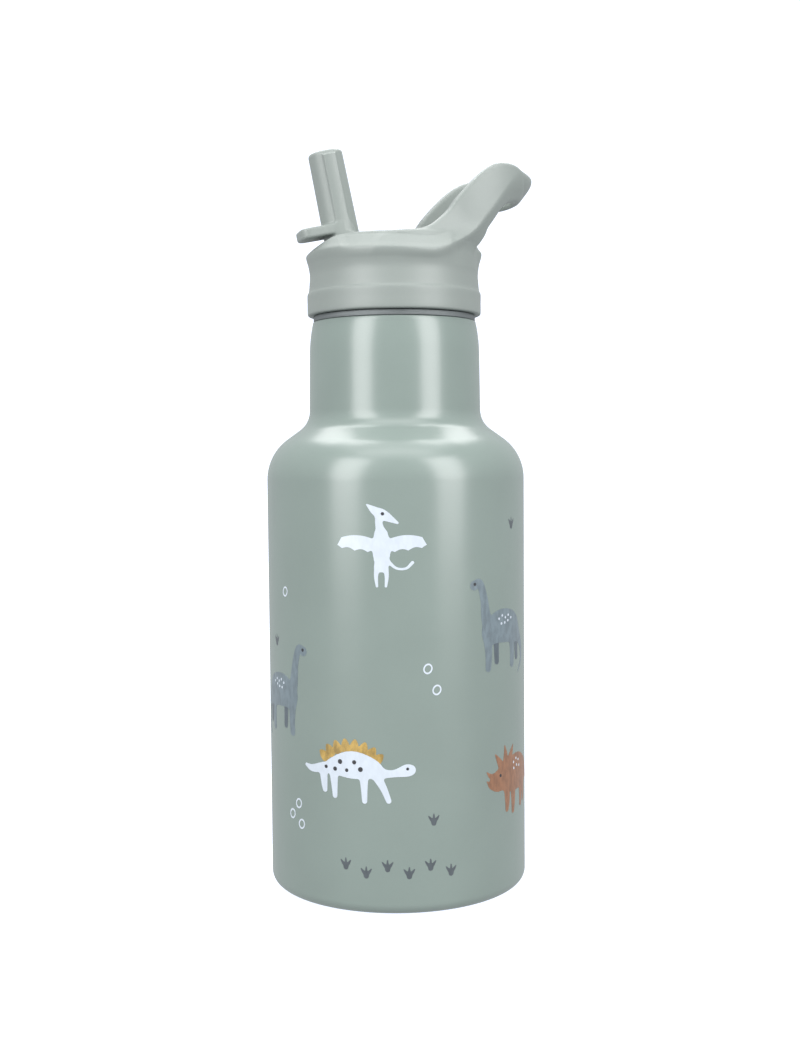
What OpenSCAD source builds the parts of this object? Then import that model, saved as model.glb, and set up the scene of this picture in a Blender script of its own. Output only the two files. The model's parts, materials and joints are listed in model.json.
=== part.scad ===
// Insulated drinking bottle for a child: double-walled steel flask, screw lid with a carry loop,
// and a spout that flips down into a trough in the lid. Base on the floor, axis on +Z.
// The lid's carry loop points to +X and its spout leans to -X. All sizes in millimetres.

/* [Flask] */
// Outer diameter of the flask
body_d = 68; // [66:1:70]
// Height at which the shoulder begins
shoulder_z = 107.5; // [100:0.5:107.5]
// Radius of the shoulder's round
shoulder_r = 12.6; // [12:0.1:13]
// Outer diameter of the neck at its foot
neck_d = 45.2; // [45:0.1:45.4]
// Height of the painted neck's top edge
neck_top_z = 147.9; // [147.9:0.1:148]
// Thickness of the outer steel wall
shell_wall = 0.6; // [0.5:0.05:0.7]
// Thickness of the inner steel wall
liner_wall = 0.5; // [0.4:0.05:0.6]
// Vacuum gap between the two walls
vacuum_gap = 2.3; // [2:0.1:3]
// Radius of the bottom edge
base_edge_r = 2.8; // [2:0.1:4]
// Depth of the recess under the base
base_recess = 2.2; // [1.8:0.1:2.6]

/* [Mouth] */
// Height of the mouth's lip
lip_z = 160.3; // [160.2:0.1:160.4]
// Inner diameter of the mouth
mouth_d = 36.9; // [36.8:0.1:37]
// Lead of the lid's screw thread
thread_lead = 4; // [4:0.1:4.2]

/* [Lid] */
// Diameter of the lid's plain skirt
skirt_d = 45.7; // [45.4:0.1:46.2]
// Height of the lid's bottom edge
lid_z0 = 150.25; // [150.2:0.05:150.4]
// Height of the lid's flat deck
deck_z = 169.4; // [169.2:0.1:169.6]

/* [Carry loop] */
// Outer width of the loop across its arms
loop_w = 34.6; // [33:0.2:36]
// Thickness of each arm
loop_t = 4.1; // [3.6:0.1:4.6]
// How far the loop reaches from the flask's axis
loop_reach = 38.5; // [37:0.5:40]

/* [Spout] */
// Length from the hinge axis to the spout's tip
spout_len = 26.5; // [24:0.5:26.5]
// Diameter of the spout at its foot
spout_d0 = 9.5; // [9.2:0.1:9.6]
// Diameter of the spout at its tip
spout_d1 = 8.9; // [8.4:0.1:9.2]
// Diameter of the drinking channel
channel_d = 5.0; // [4:0.2:5.4]
// Lean of the open spout from upright, in degrees
spout_lean = 11.3; // [10:0.1:12]
// Diameter of the straw
straw_d = 7; // [6.8:0.1:7.2]

/* [Hidden] */
$fn = 96;

body_r = body_d / 2;
neck_r = neck_d / 2;
mouth_r = mouth_d / 2;
skirt_r = skirt_d / 2;

// shoulder: a convex round, then a concave one that runs into the neck
shoulder_turn = 66;
shoulder_c = body_r - shoulder_r;
fillet_r = (shoulder_c + shoulder_r * cos(shoulder_turn) - neck_r) / (1 - cos(shoulder_turn));
fillet_z = shoulder_z + (shoulder_r + fillet_r) * sin(shoulder_turn);
neck_taper_r = 40;
neck_taper_z = 139.5;
neck_waist_r = neck_r - 0.2;
foot_r = 26.6;
foot_edge_r = 0.8;

// liner: the same form, smaller
liner_r = body_r - shell_wall - vacuum_gap;
liner_neck_r = mouth_r + liner_wall + 0.1;
liner_shoulder_r = 12;
liner_shoulder_z = shoulder_z - 3;
liner_shoulder_c = liner_r - liner_shoulder_r;
liner_fillet_r = (liner_shoulder_c + liner_shoulder_r * cos(shoulder_turn) - liner_neck_r)
    / (1 - cos(shoulder_turn));
liner_fillet_z = liner_shoulder_z + (liner_shoulder_r + liner_fillet_r) * sin(shoulder_turn);
liner_seam_z = 13;
liner_floor_z = 6.2;
liner_corner_r = 5;
lip_t = 0.6;

// screw thread: male on the mouth ring, female in the lid
male_root_r = 19.6;
male_crest_r = 20.45;
female_root_r = 20.75;
female_crest_r = 19.9;
thread_base_w = 1.8;
thread_tip_w = 0.8;
male_z = 153.4;
female_z = male_z - 1.4;
thread_turns = 1.25;
thread_start = 7;
thread_steps = 36;
thread_overlap = 0.25;

// lid interior
gasket_z1 = 162.3;
gasket_gap = 0.15;
plug_r = 18.0;
plug_wall = 1.4;
plug_z0 = 153.6;
deck_under_z = deck_z - 1.8;

// spout hinge, along Y
hinge_x = -13.1;
hinge_z = 165.8;
hub_r = 5.1;
hub_w = 9.8;
hinge_gap = 0.35;
pocket_r = hub_r + hinge_gap;
pocket_w = hub_w + 2 * hinge_gap;
rib_w = 2.9;
trunnion_r = 1.9;
trunnion_len = 1.8;
trunnion_gap = 0.05;
cheek_w = 16.8;
trough_end_x = hinge_x + spout_len + 0.9;
trough_wall = 1.3;
tab_len = 11.3;
tab_t = 2.7;
tab_w = 9.8;
tab_s = 6.4;
tab_corner_r = 2.5;

// straw line, below the open spout's channel
well_x = hinge_x + hub_r * sin(spout_lean);
well_r = 1.9;
seat_r = 3.9;
seat_stem_r = 2.8;
seat_z1 = 160.65;
core_z1 = 155.2;
core_r = plug_r - plug_wall - 0.05;
oring_r = 0.6;
oring_z = plug_z0 + 1.6;
nipple_r = 2.7;
nipple_z0 = 146.6;
straw_z0 = 11;
vent_x = 5;
vent_y = 11;

function arc(cx, cy, r, a0, a1, n) =
    [for (i = [0 : n]) let (a = a0 + (a1 - a0) * i / n) [cx + r * cos(a), cy + r * sin(a)]];

function reversed(points) = [for (i = [len(points) - 1 : -1 : 0]) points[i]];

// outer wall's surface, moved into the wall by t
function shell_curve(t) = concat(
    [[foot_r + t, base_recess + 0.6]],
    arc(foot_r + foot_edge_r, foot_edge_r, foot_edge_r - t, 180, 270, 4),
    arc(body_r - base_edge_r, base_edge_r, base_edge_r - t, 270, 360, 6),
    arc(shoulder_c, shoulder_z, shoulder_r - t, 0, shoulder_turn, 12),
    arc(neck_r + fillet_r, fillet_z, fillet_r + t, 180 + shoulder_turn, 180, 8),
    arc(neck_waist_r - neck_taper_r, neck_taper_z, neck_taper_r - t, 0,
        asin((neck_top_z - neck_taper_z) / neck_taper_r), 5)
);

// liner's outer surface, moved inwards by t
function liner_curve(t) = concat(
    [[liner_r - t, liner_seam_z]],
    arc(liner_shoulder_c, liner_shoulder_z, liner_shoulder_r - t, 0, shoulder_turn, 10),
    arc(liner_neck_r + liner_fillet_r, liner_fillet_z, liner_fillet_r + t,
        180 + shoulder_turn, 180, 8)
);

// one right-handed helical ridge with a trapezium section; a crest inside the root makes it female
module screw_ridge(root_r, crest_r, z0) {
    steps = round(thread_turns * thread_steps);
    side = crest_r > root_r ? 1 : -1;
    section = [
        [root_r - side * thread_overlap, -thread_base_w / 2], [crest_r, -thread_tip_w / 2],
        [crest_r, thread_tip_w / 2], [root_r - side * thread_overlap, thread_base_w / 2]
    ];
    n = len(section);
    points = [for (i = [0 : steps], p = section)
        let (a = thread_start + i * 360 / thread_steps, z = z0 + thread_lead * i / thread_steps)
        [p[0] * cos(a), p[0] * sin(a), z + p[1]]];
    sides = [for (i = [0 : steps - 1], j = [0 : n - 1])
        let (k = (j + 1) % n)
        [i * n + j, i * n + k, (i + 1) * n + k, (i + 1) * n + j]];
    ends = [[for (j = [0 : n - 1]) n - 1 - j], [for (j = [0 : n - 1]) steps * n + j]];
    faces = concat(sides, ends);
    polyhedron(points, side > 0 ? faces : [for (f = faces) reversed(f)]);
}

module tube(r_out, r_in, z0, z1) {
    difference() {
        translate([0, 0, z0]) cylinder(r = r_out, h = z1 - z0);
        translate([0, 0, z0 - 1]) cylinder(r = r_in, h = z1 - z0 + 2);
    }
}

// ---- flask ----

// painted outer wall: standing foot, cylinder, shoulder and neck
module outer_shell() {
    color([0.64, 0.70, 0.67])
        rotate_extrude() polygon(concat(shell_curve(0), reversed(shell_curve(shell_wall))));
}

// pressed bottom, welded in the foot, with the evacuation port at its centre
module base_pan() {
    color([0.70, 0.71, 0.72]) difference() {
        translate([0, 0, base_recess]) cylinder(r = foot_r, h = 0.6);
        translate([0, 0, base_recess - 1]) cylinder(r = 0.8, h = 3);
    }
}

// thin disc that covers the port
module base_disc() {
    color([0.74, 0.75, 0.76])
        translate([0, 0, base_recess - 0.5]) cylinder(r = foot_r - 0.6, h = 0.5);
}

// bead that closes the evacuation port
module port_seal() {
    color([0.55, 0.55, 0.50])
        translate([0, 0, base_recess + 0.1]) cylinder(r = 0.78, h = 1.2);
}

// gas-binding pill in the vacuum space
module getter() {
    color([0.35, 0.35, 0.36])
        translate([14, 0, base_recess + 0.6]) cylinder(r = 4, h = 2);
}

// copper foil round the liner, which keeps radiant heat in
module foil_wrap() {
    color([0.80, 0.50, 0.34]) tube(liner_r + 0.25, liner_r + 0.05, 16, liner_shoulder_z - 4);
}

// inner wall with its neck and the rolled lip
module inner_liner() {
    color([0.78, 0.79, 0.80]) rotate_extrude() polygon(concat(
        liner_curve(0),
        [[liner_neck_r, lip_z - lip_t], [male_root_r, lip_z - lip_t], [male_root_r, lip_z - 0.2],
         [male_root_r - 0.2, lip_z], [mouth_r + 0.2, lip_z], [mouth_r, lip_z - 0.2]],
        reversed(liner_curve(liner_wall + 0.1))
    ));
}

// liner's pressed floor, welded to its wall
module liner_bottom() {
    corner = liner_corner_r;
    color([0.76, 0.77, 0.78]) rotate_extrude() polygon(concat(
        [[0, liner_floor_z]],
        arc(liner_r - corner, liner_floor_z + corner, corner, 270, 360, 6),
        [[liner_r, liner_seam_z], [liner_r - liner_wall, liner_seam_z]],
        arc(liner_r - corner, liner_floor_z + corner, corner - liner_wall, 360, 270, 6),
        [[0, liner_floor_z + liner_wall]]
    ));
}

// bare steel finish of the mouth: the band under the lid and the screw thread
module mouth_ring() {
    tuck_r = 20.9;
    band_r = 21.3;
    inner_r = liner_neck_r + 0.02;
    color([0.62, 0.63, 0.64]) union() {
        rotate_extrude() polygon([
            [tuck_r, neck_top_z - 2.4], [tuck_r, neck_top_z + 0.05],
            [band_r - 0.3, neck_top_z + 0.15], [band_r, neck_top_z + 0.5],
            [band_r, neck_top_z + 1.5], [band_r - 0.4, neck_top_z + 1.95],
            [male_root_r, neck_top_z + 2.7], [male_root_r, lip_z - lip_t],
            [inner_r, lip_z - lip_t], [inner_r, neck_top_z + 2.2],
            [tuck_r - 0.55, neck_top_z + 1.4], [tuck_r - 0.55, neck_top_z - 2.4]
        ]);
        screw_ridge(male_root_r, male_crest_r, male_z);
    }
}

// ---- lid ----

// soft ring between the lip and the lid's ceiling
module mouth_gasket() {
    color([0.90, 0.90, 0.88])
        tube(20.6, plug_r + 0.15, lip_z + gasket_gap, gasket_z1 - gasket_gap);
}

// half of the lid's outline: skirt, step, waist, ridge and sloping shoulder
module lid_outline() {
    polygon(concat(
        [[0, lid_z0], [skirt_r - 0.35, lid_z0]],
        arc(skirt_r - 0.4, lid_z0 + 0.4, 0.4, 300, 360, 3),
        [[skirt_r, 155.4], [skirt_r - 0.35, 156.1]],
        arc(skirt_r - 0.85 + 8, 160.3, 8, 205, 147, 10),
        [[23.1, 165.6], [22.9, 166.1], [22.2, 167.2], [20.9, deck_z], [0, deck_z]]
    ));
}

// side view of the carry loop: two sweeping arms that level out into the end bar
module loop_side() {
    polygon(concat(
        [[2, 160], [2, 167], [6, 171.2], [10, 174.8], [13.5, 178.9], [17, 182.7], [20, 185.6],
         [23, 187.3], [26, 188], [31, 187.6]],
        arc(loop_reach - 3.9, 182.4, 4.6, 70, -55, 8),
        [[32, 178.7], [29, 178.4], [27, 177.7], [24.6, 175.3], [22.4, 171.8], [20.4, 168.2],
         [18, 163]]
    ));
}

// plan of the carry loop: straight arms and a half ellipse, moved inwards by t
module loop_plan(t, from_x) {
    half_w = loop_w / 2 - t;
    straight_x = 14;
    reach = loop_reach - straight_x - 1.45 * t;
    polygon(concat(
        [[from_x, -half_w]],
        [for (i = [-12 : 12]) [straight_x + reach * cos(i * 7.5), half_w * sin(i * 7.5)]],
        [[from_x, half_w]]
    ));
}

module carry_loop() {
    intersection() {
        translate([0, loop_w / 2, 0]) rotate([90, 0, 0]) linear_extrude(loop_w) loop_side();
        difference() {
            translate([0, 0, 150]) linear_extrude(50) loop_plan(0, 3);
            translate([0, 0, 149]) linear_extrude(52) loop_plan(loop_t, 2);
        }
    }
}

// room for the spout: the hub's pocket and the trough that the folded spout lies in
module spout_room() {
    translate([hinge_x, 0, hinge_z]) {
        rotate([90, 0, 0]) cylinder(r = pocket_r, h = pocket_w, center = true);
        translate([-pocket_r, -pocket_w / 2, 0]) cube([2 * pocket_r, pocket_w, 20]);
        translate([-30, -pocket_w / 2, deck_z - hinge_z]) cube([40, pocket_w, 20]);
    }
    translate([hinge_x, 0, hinge_z]) rotate([0, 90, 0])
        cylinder(r = pocket_w / 2, h = trough_end_x - hinge_x);
    translate([hinge_x, -pocket_w / 2, hinge_z]) cube([trough_end_x - hinge_x, pocket_w, 20]);
}

// walls round that room, below the deck
module spout_housing() {
    intersection() {
        union() {
            translate([-17.3, -cheek_w / 2, 158.9]) cube([10.8, cheek_w, 9.5]);
            translate([-7, -pocket_w / 2 - trough_wall, 159.3])
                cube([trough_end_x + trough_wall + 7, pocket_w + 2 * trough_wall, 9]);
        }
        translate([0, 0, 158]) cylinder(r = plug_r - 0.5, h = 11);
    }
}

// lid moulding: skirt, deck, plug, spout housing and carry loop in one piece
module lid_cap() {
    color([0.68, 0.72, 0.69]) difference() {
        union() {
            difference() {
                union() {
                    rotate_extrude() lid_outline();
                    difference() {
                        carry_loop();
                        translate([0, 0, 150]) cylinder(r = 20, h = deck_z - 151);
                    }
                }
                translate([0, 0, lid_z0 - 1])
                    cylinder(r = female_root_r, h = gasket_z1 - lid_z0 + 1);
                translate([0, 0, lid_z0 - 1])
                    cylinder(r = plug_r - plug_wall, h = deck_under_z - lid_z0 + 1);
            }
            tube(plug_r, plug_r - plug_wall, plug_z0, gasket_z1 + 0.5);
            spout_housing();
            screw_ridge(female_root_r, female_crest_r, female_z);
        }
        spout_room();
        translate([hinge_x, 0, hinge_z]) rotate([90, 0, 0])
            cylinder(r = trunnion_r + trunnion_gap, h = hub_w + 2 * trunnion_len + 0.2,
                     center = true);
        translate([well_x, 0, 150]) cylinder(r = seat_r + 0.05, h = 12);
        translate([vent_x, vent_y, deck_under_z - 1]) cylinder(r = 0.9, h = 5);
        // finger recess under the thumb tab: two slopes across the front
        translate([-22.6, -30, 165.9]) rotate([0, -40, 0]) translate([-20, 0, 0])
            cube([60, 60, 20]);
        translate([-19.3, -30, 168.7]) rotate([0, -24, 0]) translate([-20, 0, 0])
            cube([24, 60, 20]);
    }
}

// inner plate that closes the plug and carries the seat, the vent and the straw
module lid_core() {
    rim_h = 3.2;
    color([0.92, 0.93, 0.92]) difference() {
        union() {
            translate([0, 0, plug_z0]) cylinder(r = core_r, h = core_z1 - plug_z0);
            tube(core_r, core_r - 1.8, plug_z0, plug_z0 + rim_h);
            translate([well_x, 0, plug_z0]) cylinder(r = seat_stem_r + 1.2, h = 4.6);
            translate([well_x, 0, nipple_z0]) cylinder(r = nipple_r, h = plug_z0 - nipple_z0 + 0.5);
        }
        translate([well_x, 0, core_z1 - 0.2]) cylinder(r = seat_stem_r, h = 6);
        translate([well_x, 0, nipple_z0 - 1]) cylinder(r = well_r, h = 20);
        // groove for the ring seal
        tube(core_r + 1, core_r - 2 * oring_r, oring_z - oring_r - 0.05, oring_z + oring_r + 0.05);
        // vent: a hole for the valve's stem and four air holes round it
        translate([vent_x, vent_y, plug_z0 - 1]) {
            cylinder(r = 1.25, h = 4);
            for (i = [0 : 3]) rotate(45 + 90 * i) translate([2.1, 0, 0]) cylinder(r = 0.5, h = 4);
        }
    }
}

// ring seal between the core and the plug
module core_oring() {
    color([0.20, 0.21, 0.21]) translate([0, 0, oring_z])
        rotate_extrude() translate([core_r - oring_r + 0.02, 0]) circle(r = oring_r, $fn = 24);
}

// soft seat that the spout's hub turns against
module spout_seat() {
    color([0.93, 0.93, 0.91]) difference() {
        union() {
            translate([well_x, 0, core_z1 - 0.2]) cylinder(r = seat_stem_r, h = 4);
            translate([well_x, 0, 158.9]) cylinder(r = seat_r, h = seat_z1 - 158.9);
        }
        translate([well_x, 0, 150]) cylinder(r = well_r, h = 20);
        translate([hinge_x, 0, hinge_z]) rotate([90, 0, 0])
            cylinder(r = hub_r + 0.12, h = 20, center = true);
    }
}

// soft valve that lets air in as the water goes out
module vent_valve() {
    color([0.93, 0.93, 0.91]) translate([vent_x, vent_y, 0]) {
        translate([0, 0, plug_z0 - 0.8]) cylinder(r = 3.1, h = 0.8);
        translate([0, 0, plug_z0 - 0.4]) cylinder(r = 1.2, h = 2.6);
        translate([0, 0, core_z1]) cylinder(r1 = 1.8, r2 = 1.0, h = 1.4);
    }
}

// drinking straw, pushed over the nipple, with a slanted foot
module straw() {
    straw_top_z = plug_z0 - 0.4;
    color([0.88, 0.90, 0.90, 0.8]) difference() {
        translate([well_x, 0, straw_z0]) cylinder(d = straw_d, h = straw_top_z - straw_z0);
        translate([well_x, 0, straw_z0 - 1]) cylinder(r = nipple_r + 0.02, h = 200);
        translate([well_x - straw_d, -straw_d, straw_z0]) rotate([0, -30, 0])
            translate([0, 0, -straw_d]) cube([3 * straw_d, 2 * straw_d, straw_d]);
    }
}

// flip spout: tube, side ribs, hub, two trunnions and thumb tab in one piece
module spout() {
    color([0.69, 0.73, 0.70]) translate([hinge_x, 0, hinge_z]) rotate([0, -spout_lean, 0])
        difference() {
            union() {
                cylinder(r1 = spout_d0 / 2, r2 = spout_d1 / 2, h = spout_len);
                rotate([90, 0, 0]) cylinder(r = hub_r, h = hub_w, center = true);
                rotate([90, 0, 0])
                    cylinder(r = trunnion_r, h = hub_w + 2 * trunnion_len, center = true);
                translate([-rib_w / 2, -hub_w / 2, 0]) cube([rib_w, hub_w, spout_len - 2]);
                thumb_tab();
            }
            translate([0, 0, -hub_r - 1]) cylinder(d = channel_d, h = spout_len + hub_r + 2);
        }
}

// flat tab square to the tube, with rounded corners
module thumb_tab() {
    translate([0, 0, tab_s - tab_t / 2]) {
        translate([-tab_len + tab_corner_r, -tab_w / 2, 0])
            cube([tab_len - tab_corner_r, tab_w, tab_t]);
        translate([-tab_len, -tab_w / 2 + tab_corner_r, 0])
            cube([tab_len, tab_w - 2 * tab_corner_r, tab_t]);
        for (side = [-1, 1])
            translate([-tab_len + tab_corner_r, side * (tab_w / 2 - tab_corner_r), 0])
                cylinder(r = tab_corner_r, h = tab_t);
    }
}

outer_shell();
base_pan();
base_disc();
port_seal();
getter();
foil_wrap();
inner_liner();
liner_bottom();
mouth_ring();
mouth_gasket();
lid_cap();
lid_core();
core_oring();
spout_seat();
vent_valve();
straw();
spout();
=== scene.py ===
import json
import math

import bpy
import numpy as np
from mathutils import Matrix, Vector


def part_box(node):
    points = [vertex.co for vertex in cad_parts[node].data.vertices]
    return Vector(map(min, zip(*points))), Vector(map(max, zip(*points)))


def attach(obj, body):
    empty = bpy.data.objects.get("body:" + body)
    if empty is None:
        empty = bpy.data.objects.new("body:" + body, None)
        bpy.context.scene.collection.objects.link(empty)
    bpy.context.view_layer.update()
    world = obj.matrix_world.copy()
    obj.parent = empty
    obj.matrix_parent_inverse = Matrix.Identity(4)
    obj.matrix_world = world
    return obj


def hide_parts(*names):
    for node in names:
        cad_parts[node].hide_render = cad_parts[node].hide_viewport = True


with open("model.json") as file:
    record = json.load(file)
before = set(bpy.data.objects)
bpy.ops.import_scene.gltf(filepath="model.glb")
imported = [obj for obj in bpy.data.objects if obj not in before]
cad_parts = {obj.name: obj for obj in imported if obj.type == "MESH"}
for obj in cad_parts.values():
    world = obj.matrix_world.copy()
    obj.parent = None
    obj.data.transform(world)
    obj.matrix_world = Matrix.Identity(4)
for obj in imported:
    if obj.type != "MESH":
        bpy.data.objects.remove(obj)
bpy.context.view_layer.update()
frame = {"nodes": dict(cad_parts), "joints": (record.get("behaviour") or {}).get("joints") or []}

# ---------------------------------------------------------------- sizes, in millimetres
MM = 0.001


def node_box(name):
    """Lowest and highest corner of a CAD node, in millimetres."""
    low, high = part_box(name)
    return np.array(low) / MM, np.array(high) / MM


SHELL_HIGH = node_box("outer_shell")[1]
LID_LOW, LID_HIGH = node_box("lid_cap")
SPOUT_LOW, SPOUT_HIGH = node_box("spout")
SPOUT_JOINT = next(j for j in frame["joints"] if j["name"] == "spout_flip")

BODY_R = SHELL_HIGH[0]
NECK_TOP = SHELL_HIGH[2]
RING_TOP = node_box("mouth_ring")[1][2]
# the lid's skirt and the paint meet the steel band a little closer than in the CAD model
SKIRT_Z = LID_LOW[2] - 0.4
PAINT_TOP = NECK_TOP + 0.25
DECK_Z = 169.4
LOOP_REACH = LID_HIGH[0]
HINGE_X = SPOUT_JOINT["pos_m"][0] / MM
HINGE_Z = SPOUT_JOINT["pos_m"][2] / MM

# flask; the shoulder's round starts at SHOULDER_Z and turns in by SHOULDER_TURN degrees
SHOULDER_Z = 107.0
SHOULDER_R = 13.0
SHOULDER_TURN = 54
FILLET_R = 6.25
NECK_R = 22.6
NECK_WAIST_R = 22.4
NECK_TAPER_R = 40
NECK_TAPER_Z = 139.5
FOOT_R = 26.6
FOOT_EDGE_R = 0.8
BASE_EDGE_R = 2.8
BASE_RECESS = 2.2
FOOT_INSIDE_Z = BASE_RECESS + 0.6
WALL = 0.6

# screw thread, with a male ridge on the ring and a female one in the lid
MALE_ROOT_R = 19.6
MALE_CREST_R = 20.4
MALE_Z = 153.4
FEMALE_ROOT_R = 20.8
FEMALE_CREST_R = 19.95
FEMALE_Z = 152.0
THREAD_LEAD = 4
THREAD_START = 7
THREAD_SWEEP = 450
THREAD_FADE = 14
THREAD_HALF_W = 0.85
THREAD_TIP_HALF_W = 0.4

# lid interior
CEILING_Z = 162.3
PLUG_R = 18.0
PLUG_WALL = 1.4
PLUG_Z = 153.6
DECK_UNDER_Z = DECK_Z - 1.8
# walls of the spout's housing, under the deck
CHEEK_X = -11.9
CHEEK_HALF_LEN = 5.4
CHEEK_HALF_W = 8.4
CHEEK_Z = 158.9
TROUGH_FROM_X = -7
TROUGH_TO_X = 15.6
TROUGH_HALF_W = 6.5
TROUGH_Z = 159.3

# spout and the room for it in the lid
SPOUT_LEAN = 11.3
SPOUT_LEN = 26.5
SPOUT_R_FOOT = 4.75
SPOUT_R_TIP = 4.45
CHANNEL_R = 2.5
HUB_R = 5.1
HUB_HALF_W = 4.9
TRUNNION_R = 1.9
TRUNNION_LEN = 1.8
TRUNNION_GAP = 0.05
ROOM_GAP = 0.35
ROOM_END_GAP = 0.9
RIB_HALF_T = 1.6
RIB_FOOT_EXTRA = 1.5
RIB_END = SPOUT_LEN - 1.3
TAB_LEN = 11.3
TAB_S = 6.4
TAB_HALF_T = 1.35
TAB_CORNER_R = 2.6

# turn of the camera's place about Z, in degrees from the -Y side
VIEW_TURN = -14.8

# size of the net's cells on the lid and the spout
LID_CELL = 0.36
SPOUT_CELL = 0.24


# ---------------------------------------------------------------- distance fields
def blend_min(a, b, k):
    """Union of two fields with a round of about k where they meet."""
    h = np.clip(0.5 + 0.5 * (b - a) / k, 0, 1)
    return b * (1 - h) + a * h - k * h * (1 - h)


def blend_max(a, b, k):
    """Intersection of two fields with a round of about k on the edge."""
    return -blend_min(-a, -b, k)


def smooth_step(x):
    """From 0 to 1 with soft ends, as x goes from 0 to 1."""
    x = np.clip(x, 0, 1)
    return x * x * (3 - 2 * x)


def curve_through(points, per_span=12):
    """Catmull-Rom curve through the points, as an array of rows."""
    p = np.array(points, float)
    p = np.vstack([2 * p[0] - p[1], p, 2 * p[-1] - p[-2]])
    t = (np.arange(per_span) / per_span)[:, None]
    rows = []
    for a, b, c, d in zip(p, p[1:], p[2:], p[3:]):
        rows.append(0.5 * (2 * b + (c - a) * t + (2 * a - 5 * b + 4 * c - d) * t**2
                           + (3 * b - a - 3 * c + d) * t**3))
    return np.vstack(rows + [p[-2][None]])


def nearest_on(px, py, rows):
    """Field of a band along a polyline of (x, y, half width) rows, and how far left of the line it is."""
    best = np.full(px.shape, 1e9)
    offset = np.zeros(px.shape)
    spans = np.hypot(*np.diff(rows[:, :2], axis=0).T)
    for i, span in enumerate(spans):
        (ax, ay, aw), (bx, by, bw) = rows[i], rows[i + 1]
        vx, vy = bx - ax, by - ay
        t = np.clip(((px - ax) * vx + (py - ay) * vy) / span**2, 0, 1)
        dx, dy = px - ax - t * vx, py - ay - t * vy
        w = aw + (bw - aw) * t
        d = np.hypot(dx, dy) - w
        near = d < best
        best = np.where(near, d, best)
        offset = np.where(near, np.sign(vx * dy - vy * dx) * (d + w), offset)
    return best, offset


# ---------------------------------------------------------------- meshes
def surface_net(field, low, high, cell):
    """Vertices and quads of the surface where field(x, y, z) is zero, with even quads and true normals."""
    low, high = np.array(low, float), np.array(high, float)
    axes = [np.arange(low[k], high[k] + cell, cell) for k in range(3)]
    yy, zz = np.meshgrid(axes[1], axes[2], indexing="ij")
    value = np.stack([field(np.full(yy.shape, x), yy, zz) for x in axes[0]])
    inside = value < 0
    cells = tuple(n - 1 for n in value.shape)
    corner = [(i, j, k) for i in (0, 1) for j in (0, 1) for k in (0, 1)]

    def at(array, c):
        return array[c[0]:c[0] + cells[0], c[1]:c[1] + cells[1], c[2]:c[2] + cells[2]]

    full = sum(at(inside, c).astype(np.int8) for c in corner)
    active = (full > 0) & (full < 8)
    number = np.full(cells, -1, np.int64)
    number[active] = np.arange(active.sum())
    where = np.argwhere(active)
    total, hits = np.zeros((len(where), 3)), np.zeros(len(where))
    for a in corner:
        for k in range(3):
            if a[k]:
                continue
            b = tuple(a[j] + (j == k) for j in range(3))
            va, vb = at(value, a)[active], at(value, b)[active]
            cross = (va < 0) != (vb < 0)
            t = np.where(cross, va / np.where(cross, va - vb, 1), 0)
            point = np.tile(np.array(a, float), (len(where), 1))
            point[:, k] += t
            total += point * cross[:, None]
            hits += cross
    points = low + (where + total / hits[:, None]) * cell
    quads = []
    for k in range(3):
        a, b = (k + 1) % 3, (k + 2) % 3
        here, there = [slice(None)] * 3, [slice(None)] * 3
        here[k], there[k] = slice(0, -1), slice(1, None)
        for cut in (here, there):
            cut[a] = cut[b] = slice(1, -1)
        first, second = inside[tuple(here)], inside[tuple(there)]
        edge = np.argwhere(first != second)
        outward = first[tuple(edge.T)]
        ring = []
        for da, db in ((0, 0), (1, 0), (1, 1), (0, 1)):
            c = edge.copy()
            c[:, a] += da
            c[:, b] += db
            ring.append(number[tuple(c.T)])
        quad = np.stack(ring, 1)
        quad[~outward] = quad[~outward][:, ::-1]
        quads.append(quad)
    quads = np.vstack(quads)
    points = settle(field, points, quads, cell)
    return points, quads, slope(field, points, 0.3 * cell)


def slope(field, points, step):
    """Unit normals of the field at the points."""
    n = np.stack([field(*(points + step * e).T) - field(*(points - step * e).T) for e in np.eye(3)], 1)
    return n / np.maximum(np.linalg.norm(n, axis=1), 1e-9)[:, None]


def settle(field, points, quads, cell, rounds=4):
    """Evens the quads out along the surface and puts each vertex on it."""
    a = np.concatenate([quads[:, k] for k in range(4)])
    b = np.concatenate([quads[:, (k + 1) % 4] for k in range(4)])
    count = len(points)
    uses = np.bincount(a, minlength=count) + np.bincount(b, minlength=count)
    for _ in range(rounds):
        mean = np.stack([np.bincount(a, points[b, k], count) + np.bincount(b, points[a, k], count)
                         for k in range(3)], 1) / uses[:, None]
        normal = slope(field, points, 0.3 * cell)
        shift = mean - points
        shift -= (shift * normal).sum(1)[:, None] * normal
        points = points + 0.6 * shift
        gap = np.clip(field(*points.T), -0.5 * cell, 0.5 * cell)
        points = points - gap[:, None] * slope(field, points, 0.3 * cell)
    return points


def make_object(name, points, faces, normals=None, crease=None):
    """A smooth-shaded mesh object from points in millimetres. faces is an array of quads or a list."""
    mesh = bpy.data.meshes.new(name)
    faces = faces.tolist() if isinstance(faces, np.ndarray) else faces
    mesh.from_pydata((points * MM).tolist(), [], faces)
    mesh.validate()
    mesh.shade_smooth()
    if crease is not None:
        mesh.set_sharp_from_angle(angle=math.radians(crease))
    if normals is not None:
        mesh.normals_split_custom_set_from_vertices(normals.tolist())
    piece = bpy.data.objects.new(name, mesh)
    bpy.context.scene.collection.objects.link(piece)
    return piece


def arc(cx, cy, r, start, end, count):
    """Points on a circle from one angle to another, in degrees."""
    a = np.radians(np.linspace(start, end, count))
    return [(cx + r * math.cos(t), cy + r * math.sin(t)) for t in a]


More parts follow.
